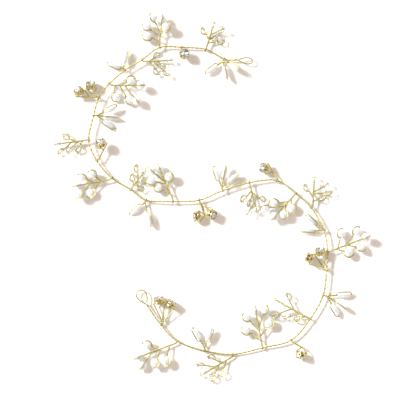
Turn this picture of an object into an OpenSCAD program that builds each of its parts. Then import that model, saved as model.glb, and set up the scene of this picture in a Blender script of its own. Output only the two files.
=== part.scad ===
// Hair vine: a thin twisted wire stem that lies in the shape of an S, with a
// small loop at each end. Short branching sprigs of thinner twisted wire grip
// the stem and hold round pearls, rice pearls, clear beads and set stones.
// Millimetres. +X is to the right, +Y runs up the S and +Z stands up from the
// table that the vine lies on. The origin is below the middle of the vine.

/* [Wire] */
// Thickness of the twisted stem
stem_d = 1.0; // [0.9:0.05:1.1]
// Thickness of a sprig's twisted leader
leader_d = 0.66; // [0.6:0.02:0.66]
// Thickness of a sprig's twisted side twigs
twig_d = 0.6; // [0.54:0.02:0.6]
// Thickness of the single wire that holds a bead or a cup
wire_d = 0.38; // [0.34:0.02:0.38]
// Thickness of the wire of the two end loops
loop_wire_d = 0.5; // [0.44:0.02:0.52]
// Clearance left between separate pieces
gap = 0.12; // [0.1:0.01:0.14]

/* [Beads] */
// Diameter of a round pearl
pearl_d = 4.4; // [4.2:0.05:4.4]
// Length of a rice pearl
rice_l = 7; // [6.7:0.1:7.1]
// Thickness of a rice pearl
rice_d = 2.6; // [2.4:0.1:2.7]
// Diameter of a clear bead
clear_d = 3.3; // [3.1:0.05:3.35]
// Length of a clear bead
clear_l = 3; // [2.8:0.05:3]
// Facets round a clear bead
clear_sides = 10; // [8, 10, 12]
// Diameter of the hole through every bead
bore_d = 0.9; // [0.8:0.05:1]

/* [Stones] */
// Outer diameter of a stone's cup
cup_d = 5; // [4.9:0.05:5.05]
// Height of a cup with its stone
cup_h = 3.8; // [3.7:0.05:3.85]
// Wall of the cup
cup_wall = 0.28; // [0.25:0.01:0.3]
// Openings round the cup, with a claw between each two
cup_windows = 8; // [6, 8]
// Facets round a stone
stone_sides = 8; // [8, 10]

/* [Hidden] */
$fn = 64;
GOLD = [0.80, 0.76, 0.58];
PEARL = [0.95, 0.92, 0.87];
CLEAR = [0.86, 0.91, 0.93];
CUP_GOLD = [0.78, 0.70, 0.48];
RHINESTONE = [0.93, 0.93, 0.95];

// Middle of the vine in the layout below, which the origin is moved to
middle = [6.05, 1.35, 0];

// Free ends of the stem, where the end loops sit
start_end = [19, 70, 2.6];
far_end = [-26.75, -52, 2.4];

// Sprigs in order from the start to the far end, as [kind, root, twigs].
// The root is the point [x, y, z] of the stem that the sprig grips.
// A bead's twig is [fork, dx, dy, z, turn]: the share of the first twig, the
// leader, where it forks off, then its bead's place from the root, the height
// of the bead's centre over the table, and the side on which its wire comes
// back round the bead, 0 to the left, 90 over it and 180 to the right.
// A stone's twig is [neck, dx, dy, z, heading, rise]: the share of the way to
// the cup that is twisted, the stone's place, and the two angles of its face.
SPRIGS = [
    ["rice", [12, 70.5, 2.3], [[0, -6, -5.25, 2.4, 160], [0.12, 0.75, -6.75, 3.4, 90],
        [0.12, 4.75, -4.25, 4.8, 20]]],
    ["clear", [3, 75.25, 2.4], [[0, 3.75, 12, 3.6, 90], [0.22, 7.25, 4.25, 2.2, 160],
        [0.39, -0.75, 9.25, 2.6, 20], [0.39, 4.75, 7, 1.8, 125], [0.7, 7.5, 9.75, 4.5, 90]]],
    ["stone", [-9.25, 76.25, 2.6], [[1, 1.5, -3.5, 4.9, 60, 65]]],
    ["pearl", [-20, 76.25, 3], [[0, 1, 14, 4.5, 90], [0.2, -6.25, 5.5, 3.5, 20],
        [0.45, -6.5, 10.25, 4, 35], [0.5, 3, 10, 5.5, 160], [0.6, -3.5, 14.75, 5.4, 55]]],
    ["clear", [-29, 70, 3.4], [[0, 13.75, -0.25, 3, 90], [0.25, 7.5, 1.75, 1.8, 20],
        [0.3, 7.5, -5.5, 2.6, 160], [0.45, 12, -6.5, 3.5, 125], [0.6, 10.75, -3, 2, 90]]],
    ["rice", [-37.5, 64.75, 3.6], [[0, -5.25, 2.75, 2.6, 20], [0.12, 0.25, 6.5, 3.2, 160]]],
    ["pearl", [-45.25, 58, 3.8], [[0, 15.75, -0.75, 5.4, 90], [0.15, 3.5, -6.5, 2.2, 160],
        [0.35, 9.5, -8.25, 2.6, 125], [0.35, 10.75, 1.5, 3, 20], [0.55, 13.75, -8.5, 4.2, 90]]],
    ["stone", [-50.5, 51, 3.8], [[0.6, -4, 6.25, 4.2, 90, 30], [0.6, -10, 3.25, 4.8, 125, 25]]],
    ["rice", [-53, 42.25, 3.7], [[0, 8.25, 3, 4.4, 20], [0.12, 8.5, -0.75, 3.2, 90],
        [0.12, 7.25, -4.25, 1.8, 160]]],
    ["clear", [-55.5, 30, 3.6], [[0, -15.5, -2, 3.4, 90], [0.15, -5.75, -4.25, 1.8, 20],
        [0.35, -9.75, -5, 3.9, 90], [0.4, -11.5, 1.25, 2.2, 160], [0.6, -13.75, -6, 2.2, 125]]],
    ["stone", [-51.5, 19.75, 3.2], [[1, 2.25, 8.5, 6.4, 115, 40]]],
    ["pearl", [-44, 11, 2.8], [[0, -17.25, -3.75, 3.8, 90], [0.3, -10, 1.75, 4.8, 160],
        [0.35, -10.75, -7.5, 2.2, 20], [0.6, -14.75, 0.5, 5, 125], [0.7, -16.25, -8.25, 4.4, 35]]],
    ["clear", [-34.5, 5.25, 2.6], [[0, 7, 9.25, 2.4, 90], [0.12, 1.25, 5.75, 2, 20],
        [0.2, 5, 1, 2, 160], [0.6, 3.25, 10.5, 3, 35], [0.35, 6.75, 4.75, 2.4, 160]]],
    ["rice", [-27, 0, 2.6], [[0, -5, -5, 1.7, 160], [0.12, 1.5, -9.75, 3, 20]]],
    ["pearl", [-13.5, -0.75, 3], [[0, -6.75, 16.5, 3.6, 90], [0.2, -7.25, 7, 3, 20],
        [0.4, -2, 12.25, 4.4, 160], [0.6, -10.75, 10.25, 4.9, 35], [0.65, -10.75, 15.5, 5.9, 90]]],
    ["stone", [-0.25, 0, 3], [[1, -1.5, -8.25, 4, 190, 10], [0.5, 6.25, -7.25, 4.6, 335, 35]]],
    ["rice", [11.25, 4.75, 3.2], [[0, -2.75, 8.5, 3.4, 20], [0.12, 1, 9.25, 4, 90],
        [0.12, 5.25, 6, 3.2, 160]]],
    ["clear", [24.75, 8.75, 3], [[0, 3.25, -13.25, 2.6, 90], [0.3, -2.75, -8.5, 4.2, 160],
        [0.35, 6, -8.75, 2.4, 20], [0.45, 0, -10.25, 1.8, 125], [0.85, -0.5, -14.75, 4.8, 90]]],
    ["stone", [38.5, 9.75, 2.6], [[0.8, -6.5, 6.25, 4.4, 165, 30]]],
    ["pearl", [47.75, 3.25, 2.6], [[0, -10.5, -11.5, 4.2, 90], [0.2, -2, -7.5, 2.8, 20],
        [0.35, -10.75, -5, 2.2, 160], [0.45, -6, -10.5, 3.4, 35], [0.6, -15.25, -7.25, 5.2, 125]]],
    ["clear", [55.5, -3.75, 2.8], [[0, 1.5, 13.75, 3.6, 90], [0.2, 5, 5, 2, 160],
        [0.35, -2, 10, 2.6, 20], [0.55, 8.5, 7.75, 3.4, 160], [0.62, 7.25, 11.25, 3.4, 90]]],
    ["rice", [62, -15, 3], [[0, -8, 0.25, 2.4, 20], [0.12, -6.75, 4.75, 4, 160]]],
    ["pearl", [63.75, -25.75, 3.2], [[0, 19, 7, 5.4, 90], [0.2, 10.5, -0.5, 3.4, 160],
        [0.25, 7, 9, 3.2, 20], [0.5, 14.5, 10.25, 4, 35], [0.55, 16.5, 1.75, 3.2, 125]]],
    ["stone", [63.25, -35, 3.2], [[0.3, -9, 6.25, 4.4, 158, 0], [0.3, -3.25, 9.25, 5, 95, 25]]],
    ["rice", [61.5, -47.5, 3], [[0, 10.5, 0, 2.4, 20], [0.12, 6, -7.25, 2.4, 160],
        [0.12, 9, -5.25, 4.4, 90]]],
    ["clear", [55, -59.5, 2.8], [[0, -16.5, 9.25, 3.6, 90], [0.12, -6.5, 0.25, 1.8, 20],
        [0.3, -11, 1, 2.4, 90], [0.5, -11.25, 11, 3, 160], [0.6, -17.25, 2.25, 3, 35]]],
    ["stone", [45.5, -70, 2.4], [[1, 4.75, -7.5, 4.2, 258, 10]]],
    ["pearl", [31.25, -73.75, 2.2], [[0, -3.5, 18.5, 4, 90], [0.15, -8.25, 8.75, 3.6, 20],
        [0.3, 3.25, 12, 3.4, 160], [0.5, -8, 15.25, 4.4, 35], [0.6, 1.25, 19, 5, 125]]],
    ["clear", [16.5, -77, 1.8], [[0, -14.75, -9.75, 2.4, 90], [0.25, -5.75, -9.75, 2.6, 20],
        [0.4, -11, -2, 2.6, 160], [0.5, -10.5, -11.75, 1.8, 35], [0.65, -16.25, -5.5, 3, 125]]],
    ["rice", [2.25, -75.25, 1.9], [[0, -3.75, 8.25, 2.4, 20], [0.12, 2.25, 7.75, 3, 160]]],
    ["pearl", [-11.25, -70.5, 2], [[0, -19.75, -8, 3.6, 90], [0.2, -6, -10, 3.8, 20],
        [0.45, -11.25, -11, 3.6, 35], [0.5, -15.25, -2, 3.4, 160], [0.7, -17.5, -12.25, 2.6, 90]]],
    ["stone", [-19.5, -62.25, 2.2], [[0.2, -1, 12.25, 3.4, 95, 20], [0.2, 5, 10.25, 4.4, 60, 15]]],
];

// The eight sprigs from one rice sprig of three to the next make one repeat
sprigs_per_repeat = 8;
repeats = len(SPRIGS) / sprigs_per_repeat;

// Stem sweep
stem_r = stem_d / 2;
stem_sides = 8;
rings_per_span = 3;

// Sprig wires. The wire through a bead starts inside the twig's end and ends in
// a short sleeve, where it turns back, and a stone's two legs do the same.
leader_r = leader_d / 2;
twig_r = twig_d / 2;
wire_r = wire_d / 2;
short = wire_r * 1.18;
sleeve_r = wire_r * 1.3;
sleeve_in = short * 1.3;
twig_past = short * 1.2;
hook_gap = wire_r + gap * 1.5;
bar_r = wire_r * 1.15;
bar_past = 0.12;
rice_beside = rice_d / 2 + bar_r + gap;
grip_wire_r = twig_r * 0.96;
grip_r = stem_r + gap + grip_wire_r;
seat_r = grip_r + grip_wire_r / 2;
leg_back = 0.3;
leg_apart = 0.1;

// Rice pearl profile
rice_steps = 14;

// Cup and stone
foot_d = cup_d - 1.4;
foot_h = 1.1;
floor_z = 0.9;
floor_top = 1.3;
rim_z = cup_h - 0.65;
channel_z = 0.5;
channel_d = wire_d + 2 * gap;
window_w = 1.05;
window_z = 1.6;
window_h = 1.0;
claw_r = 0.17;
claw_foot = [cup_d / 2 - 0.12, cup_h - 0.75];
claw_tip = [cup_d / 2 - 0.56, cup_h - 0.23];
stone_r = cup_d / 2 - cup_wall - gap;
girdle_z = cup_h - 0.9;
girdle_h = 0.15;
table_r = stone_r * 0.6;
table_z = cup_h - 0.05;
culet_z = floor_top + 0.2;
ear = cup_d / 2 + 0.45;
leg = 2.2;

// End loops: [stem end, centre of the round tip, radius of the tip]
LOOPS = [
    [start_end, [24.7, 69.4, 2.7], 1.55],
    [far_end, [-29.25, -47.5, 2.5], 2.5],
];
loop_r = loop_wire_d / 2;
collar_back = 0.7;

function two_digits(n) = str(n < 10 ? "0" : "", n);

function unit(v) = v / norm(v);
function mix(a, b, share) = a + (b - a) * share;
function across(v, axis) = unit(v - axis * (v * axis));

// The stem's own points, and a smooth curve through them
STEM = concat([start_end], [for (sprig = SPRIGS) sprig[1]], [far_end]);
function stem_point(i) = STEM[max(0, min(len(STEM) - 1, i))];
function stem_slope(i) = (stem_point(i + 1) - stem_point(i - 1)) / 2;
function stem_curve(i, t) =
    stem_point(i) * (2 * t ^ 3 - 3 * t ^ 2 + 1)
    + stem_slope(i) * (t ^ 3 - 2 * t ^ 2 + t)
    + stem_point(i + 1) * (3 * t ^ 2 - 2 * t ^ 3)
    + stem_slope(i + 1) * (t ^ 3 - t ^ 2);
STEM_PATH = concat(
    [for (i = [0:len(STEM) - 2], k = [0:rings_per_span - 1]) stem_curve(i, k / rings_per_span)],
    [far_end]
);

// Places on a sprig
function root(s) = SPRIGS[s][1];
function kind(s) = SPRIGS[s][0];
function twigs(s) = SPRIGS[s][2];
function tangent(s) = unit(stem_slope(s + 1));
function held(s, t) = [root(s).x + twigs(s)[t][1], root(s).y + twigs(s)[t][2], twigs(s)[t][3]];
function seat(s, target) = root(s) + seat_r * across(target - root(s), tangent(s));
function half_length(s) = kind(s) == "pearl" ? pearl_d / 2 : kind(s) == "rice" ? rice_l / 2 : clear_d / 2;
function reach(s) = half_length(s) + hook_gap;
function start(s) = seat(s, held(s, 0));
function leader_neck(s) = held(s, 0) - reach(s) * unit(held(s, 0) - start(s));
function fork(s, t) = mix(start(s), leader_neck(s), twigs(s)[t][0]);
function heading(s, t) = unit(held(s, t) - fork(s, t));

// Places on a stone's twig
function face(s, t) = let (turn = twigs(s)[t][4], rise = twigs(s)[t][5])
    [cos(rise) * cos(turn), cos(rise) * sin(turn), sin(rise)];
function side(s, t) = [-sin(twigs(s)[t][4]), cos(twigs(s)[t][4]), 0];
function cup_base(s, t) = held(s, t) - face(s, t) * cup_h / 2;

// The wire of a sprig as a list of plain shapes: ["rod", from, to, radius],
// ["ring", middle, axis] round the stem, and ["arc", bead, direction of its
// bore, turn, shift of the arc's middle along the bore, radius, start, sweep]
function sleeve(end, u) = ["rod", end - sleeve_in * u, end + short * u, sleeve_r];
function round_bend(bead, u, turn, far) = [["arc", bead, u, turn, 0, far, 0, 180]];
function rice_bend(bead, u, turn, far) =
    let (
        left = unit(cross([0, 0, 1], u)),
        beside = rice_beside * (cos(turn) * left + sin(turn) * cross(u, left)),
        shift = far - rice_beside,
        bar = (shift + bar_past) * u
    ) [
        ["arc", bead, u, turn, -shift, rice_beside, 0, 90],
        ["rod", bead + beside - bar, bead + beside + bar, bar_r],
        ["arc", bead, u, turn, shift, rice_beside, 90, 90],
    ];
function bead_twig(s, t) =
    let (
        bead = held(s, t),
        from = fork(s, t),
        u = heading(s, t),
        far = reach(s),
        turn = twigs(s)[t][4]
    ) concat(
        [
            ["rod", from, bead - (far - twig_past) * u, t == 0 ? leader_r : twig_r],
            ["rod", bead - (far - short) * u, bead + (far - short) * u, wire_r],
            sleeve(bead + far * u, u),
        ],
        kind(s) == "rice" ? rice_bend(bead, u, turn, far) : round_bend(bead, u, turn, far)
    );
function stone_twig(s, t) =
    let (
        base = cup_base(s, t),
        from = seat(s, base),
        apex = mix(from, base - leg * face(s, t), twigs(s)[t][0]),
        fork = apex - leg_back * unit(apex - from),
        channel = base + channel_z * face(s, t)
    ) concat(
        [
            ["rod", from, apex, leader_r],
            ["rod", channel - (ear - short) * side(s, t), channel + (ear - short) * side(s, t), wire_r],
        ],
        [for (out = [-side(s, t), side(s, t)]) each [
            ["rod", fork + leg_apart * out, channel + ear * out, wire_r],
            sleeve(channel + ear * out, out),
        ]]
    );
function sprig_shapes(s) = concat(
    [["ring", root(s), tangent(s)]],
    [for (t = [0:len(twigs(s)) - 1]) each kind(s) == "stone" ? stone_twig(s, t) : bead_twig(s, t)]
);

// A swept tube through a list of points, closed at both ends
module tube(path, r, sides) {
    last = len(path) - 1;
    function along(i) = unit(path[min(last, i + 1)] - path[max(0, i - 1)]);
    function left(i) = unit(cross([0, 0, 1], along(i)));
    points = [
        for (i = [0:last], k = [0:sides - 1])
            let (a = 360 * (k + 0.5) / sides, l = left(i), up = cross(along(i), l))
                path[i] + r * (cos(a) * l + sin(a) * up)
    ];
    walls = [
        for (i = [0:last - 1], k = [0:sides - 1])
            let (a = i * sides + k, b = i * sides + (k + 1) % sides)
                each [[a, b, b + sides], [a, b + sides, a + sides]]
    ];
    caps = [
        for (k = [1:sides - 2])
            each [[0, k + 1, k], [last * sides, last * sides + k, last * sides + k + 1]]
    ];
    polyhedron(points, concat(walls, caps));
}

// Moves a shape to a point and turns its Z axis to a direction
module aim(point, direction) {
    translate(point) rotate([0, acos(direction.z), atan2(direction.y, direction.x)]) children();
}

module rod(a, b, r) {
    aim(a, unit(b - a)) cylinder(h = norm(b - a), r = r);
}

module ball(point, r) {
    translate(point) sphere(r = r);
}

// One turn of wire round the stem
module ring(point, direction) {
    aim(point, direction) rotate_extrude() translate([grip_r, 0]) circle(r = grip_wire_r);
}

// Part of a turn of wire round a bead
module arc(bead, direction, turn, shift, r, start, sweep) {
    aim(bead, direction) translate([0, 0, shift]) rotate([0, 0, 90 + turn]) rotate([90, 90, 0])
        rotate([0, 0, start]) rotate_extrude(angle = sweep) translate([r, 0]) circle(r = wire_r);
}

module wire_shape(shape) {
    if (shape[0] == "rod") rod(shape[1], shape[2], shape[3]);
    if (shape[0] == "ring") ring(shape[1], shape[2]);
    if (shape[0] == "arc")
        arc(shape[1], shape[2], shape[3], shape[4], shape[5], shape[6], shape[7]);
}

module stem_wire() {
    color(GOLD) translate(-middle) tube(STEM_PATH, stem_r, stem_sides);
}

// A loop of wire in the shape of a drop, whose collar sits on the stem's end
module end_loop(n) {
    end = LOOPS[n][0];
    centre = LOOPS[n][1];
    tip_r = LOOPS[n][2];
    along = unit(n == 0 ? end - root(0) : end - root(len(SPRIGS) - 1));
    collar = end - collar_back * along;
    out = unit(centre - end);
    left = unit(cross([0, 0, 1], out));
    normal = cross(out, left);
    spread = asin((tip_r - seat_r) / norm(centre - collar));
    shoulders = [for (way = [-1, 1]) collar + way * seat_r * across(left, along)];
    bends = [for (way = [-1, 1]) centre + tip_r * (way * cos(spread) * left - sin(spread) * out)];
    color(GOLD) translate(-middle) {
        ring(collar, along);
        for (i = [0, 1])
            rod(shoulders[i], bends[i] + bar_past * unit(bends[i] - shoulders[i]), loop_r * 1.15);
        multmatrix([
            [out.x, left.x, normal.x, centre.x],
            [out.y, left.y, normal.y, centre.y],
            [out.z, left.z, normal.z, centre.z],
        ]) rotate([0, 0, -90 - spread]) rotate_extrude(angle = 180 + 2 * spread)
            translate([tip_r, 0]) circle(r = loop_r);
    }
}

module sprig_wire(s) {
    color(GOLD) translate(-middle) for (shape = sprig_shapes(s)) wire_shape(shape);
}

module bore(length) {
    cylinder(h = length + 2, d = bore_d, center = true);
}

module pearl() {
    difference() {
        sphere(d = pearl_d);
        bore(pearl_d);
    }
}

// An oval turned from a half ellipse, with its bore left open
module rice_pearl() {
    tilt = asin(bore_d / rice_d);
    outline = [
        for (i = [0:rice_steps])
            let (a = -90 + tilt + i * (180 - 2 * tilt) / rice_steps)
                [cos(a) * rice_d / 2, sin(a) * rice_l / 2]
    ];
    rotate_extrude() polygon(outline);
}

// A drum with a flat table at each end and a belt of facets round its middle
module clear_bead() {
    table = clear_d * 0.26;
    belt = clear_l * 0.14;
    rotate_extrude($fn = clear_sides) polygon([
        [bore_d / 2, -clear_l / 2], [table, -clear_l / 2], [clear_d / 2, -belt],
        [clear_d / 2, belt], [table, clear_l / 2], [bore_d / 2, clear_l / 2],
    ]);
}

// Short round claws that lean in from the rim of a cup
module claws() {
    lean = claw_tip - claw_foot;
    for (k = [0:cup_windows - 1]) rotate([0, 0, 360 * k / cup_windows])
        translate([claw_foot.x, 0, claw_foot.y]) rotate([0, atan2(lean.x, lean.y), 0]) {
            cylinder(h = norm(lean), r = claw_r);
            ball([0, 0, norm(lean)], claw_r * 1.1);
        }
}

// A pierced cup with claws that lean over the stone
module cup() {
    difference() {
        union() {
            cylinder(h = foot_h, d = foot_d);
            translate([0, 0, floor_z]) cylinder(h = rim_z - floor_z, d = cup_d);
            claws();
        }
        difference() {
            translate([0, 0, floor_top]) cylinder(h = cup_h, d = cup_d - 2 * cup_wall);
            claws();
        }
        translate([0, 0, channel_z]) rotate([90, 0, 0]) cylinder(h = cup_d, d = channel_d, center = true);
        for (k = [0:cup_windows / 2 - 1]) rotate([0, 0, 360 * (k + 0.5) / cup_windows]) {
            translate([0, 0, window_z + window_h - window_w / 2])
                rotate([0, 90, 0]) cylinder(h = cup_d + 1, d = window_w, center = true);
            translate([-cup_d, -window_w / 2, window_z])
                cube([2 * cup_d, window_w, window_h - window_w / 2]);
        }
    }
}

// A brilliant: a flat table, a ring of crown facets, a girdle and a pavilion
module stone() {
    n = stone_sides;
    function corners(r, z, shift) = [
        for (k = [0:n - 1]) let (a = 360 * (k + shift) / n) [r * cos(a), r * sin(a), z]
    ];
    points = concat(
        corners(table_r, table_z, 0.5),
        corners(stone_r, girdle_z + girdle_h, 0),
        corners(stone_r, girdle_z, 0),
        [[0, 0, culet_z]]
    );
    table = [[for (k = [n - 1:-1:0]) k]];
    facets = [
        for (k = [0:n - 1])
            let (next = (k + 1) % n) each [
                [k, next, n + next],
                [k, n + next, n + k],
                [n + k, n + next, 2 * n + next],
                [n + k, 2 * n + next, 2 * n + k],
                [2 * n + k, 2 * n + next, 3 * n],
            ]
    ];
    polyhedron(points, concat(table, facets));
}

// Puts a bead on each twig of one kind within one repeat
module beads(wanted, k) {
    for (s = [k * sprigs_per_repeat:(k + 1) * sprigs_per_repeat - 1])
        if (kind(s) == wanted)
            for (t = [0:len(twigs(s)) - 1])
                translate(-middle) aim(held(s, t), heading(s, t)) children();
}

// Puts a cup or a stone on each stone twig within one repeat
module settings(k) {
    for (s = [k * sprigs_per_repeat:(k + 1) * sprigs_per_repeat - 1])
        if (kind(s) == "stone")
            for (t = [0:len(twigs(s)) - 1])
                translate(-middle) aim(cup_base(s, t), face(s, t)) children();
}

stem_wire();
for (n = [0:1]) end_loop(n);
for (s = [0:len(SPRIGS) - 1])
    sprig_wire(s);
for (k = [0:repeats - 1]) {
    color(PEARL) beads("pearl", k) pearl();
    color(PEARL) beads("rice", k) rice_pearl();
    color(CLEAR) beads("clear", k) clear_bead();
    color(CUP_GOLD) settings(k) cup();
    color(RHINESTONE) settings(k) stone();
}
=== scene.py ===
"""Look of a hair vine that lies on a pale table, seen from straight above.

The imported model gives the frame. Each wire, pearl, bead, cup and stone is made
here in more detail and takes the place of its own node. Lengths in the tables
and in the wire and bead functions are millimetres, and every mesh is in metres.
"""

import math

import bmesh
import bpy
from mathutils import Matrix, Vector


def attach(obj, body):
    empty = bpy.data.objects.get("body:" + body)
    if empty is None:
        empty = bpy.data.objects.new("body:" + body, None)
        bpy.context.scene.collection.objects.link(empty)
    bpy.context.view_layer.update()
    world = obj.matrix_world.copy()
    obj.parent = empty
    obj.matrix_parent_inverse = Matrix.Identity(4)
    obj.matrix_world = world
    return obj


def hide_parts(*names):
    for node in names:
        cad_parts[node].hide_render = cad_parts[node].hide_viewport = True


bl_info = {
    "name": "Hair vine",
    "version": (1, 0, 0),
    "blender": (4, 5, 0),
    "location": "View3D > Sidebar > Hair vine",
    "description": "Makes a hair vine of twisted wire with pearls, clear beads and set stones",
    "category": "Object",
}

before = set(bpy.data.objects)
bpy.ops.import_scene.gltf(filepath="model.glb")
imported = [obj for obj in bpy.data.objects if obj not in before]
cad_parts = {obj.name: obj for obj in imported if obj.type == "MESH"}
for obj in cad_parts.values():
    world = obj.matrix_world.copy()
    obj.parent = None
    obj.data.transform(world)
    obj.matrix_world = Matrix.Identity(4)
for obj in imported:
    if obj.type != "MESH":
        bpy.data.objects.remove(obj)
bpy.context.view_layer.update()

MM = 0.001
UP = Vector((0, 0, 1))

# Places in the layout start from the middle of the photograph: the middle of the
# S, which the frame has at its origin, and the two ends of the stem
MIDDLE = Vector((6.05, 1.35, 0))
START_END = Vector((19, 70, 2.6))
FAR_END = Vector((-26.75, -52, 2.4))

# Wire radii and gap of the solids, how far behind a cup its wire's legs meet, and
# the height of the foot's channel, which settle where each twig and bend begins
STEM_R, TWIG_R, WIRE_R, GAP = 0.5, 0.3, 0.19, 0.12
LEG, CHANNEL_Z = 2.2, 0.5

# The wire that coils round the stem: its radius, the length of stem that one turn
# takes, and how far its centre line stands off the stem
GRIP_WIRE_R, GRIP_LAY, GRIP_OFF = 0.15, 0.32, 0.27

# Thickness of a cup's wall
CUP_WALL = 0.28

# Camera height, width of the view and width of the table, in metres, the sun's
# colour, and the number of dark panels round the sky
CAMERA_HEIGHT, CAMERA_FIELD, TABLE_WIDTH = 2.0, 0.2, 3.0
SUN_COLOUR = (0.98, 1.0, 1.03)
SKY_PANELS = 5.0

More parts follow.
